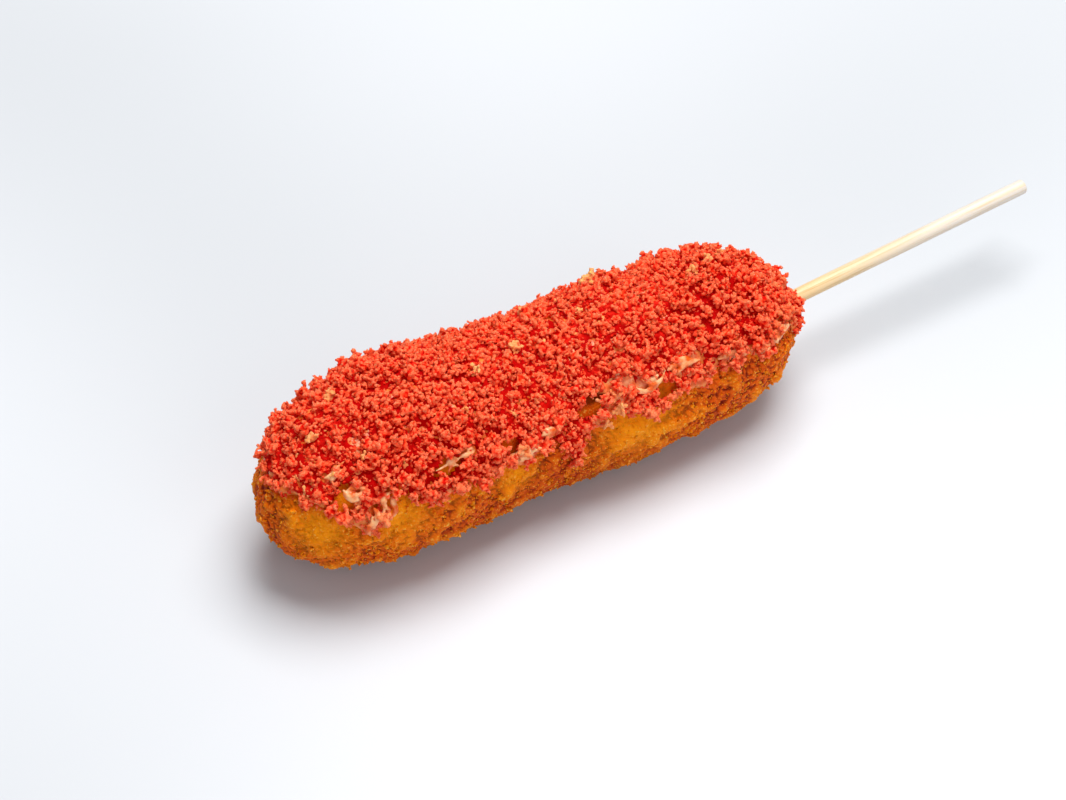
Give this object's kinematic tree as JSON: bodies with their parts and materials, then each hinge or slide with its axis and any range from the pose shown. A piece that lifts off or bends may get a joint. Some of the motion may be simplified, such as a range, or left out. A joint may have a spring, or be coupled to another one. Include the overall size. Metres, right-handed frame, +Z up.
{
  "type": "corn dog",
  "caption": "Fried corn dog on a bamboo stick, its top spread with sauce and coated in puffed red crumbs, lying on its side.",
  "frame": {"origin": "the middle of the small flat on the batter's underside that the food rests on", "axes": "+X along the food from its free end to its stick end, +Z up through the crumb coat, -Y the side where the crust shows most"},
  "size_m": [0.2234, 0.05, 0.049],
  "materials": {
    "fried_crust": "deep-fried breadcrumb crust, golden amber, rough with a little oil shine",
    "sauce": "thin creamy sauce tinted by the crumbs, glossy and slightly see-through",
    "puffed_crumb": "crushed puffed-corn crumbs, coral red and granular, matt",
    "bamboo": "plain round bamboo, fine lengthwise grain, oil-soaked near the food"
  },
  "bodies": {
    "root": {"fried_batter": "fried_crust", "sauce": "sauce", "crumb_coat": "puffed_crumb", "stick": "bamboo"}
  },
  "joints": []
}
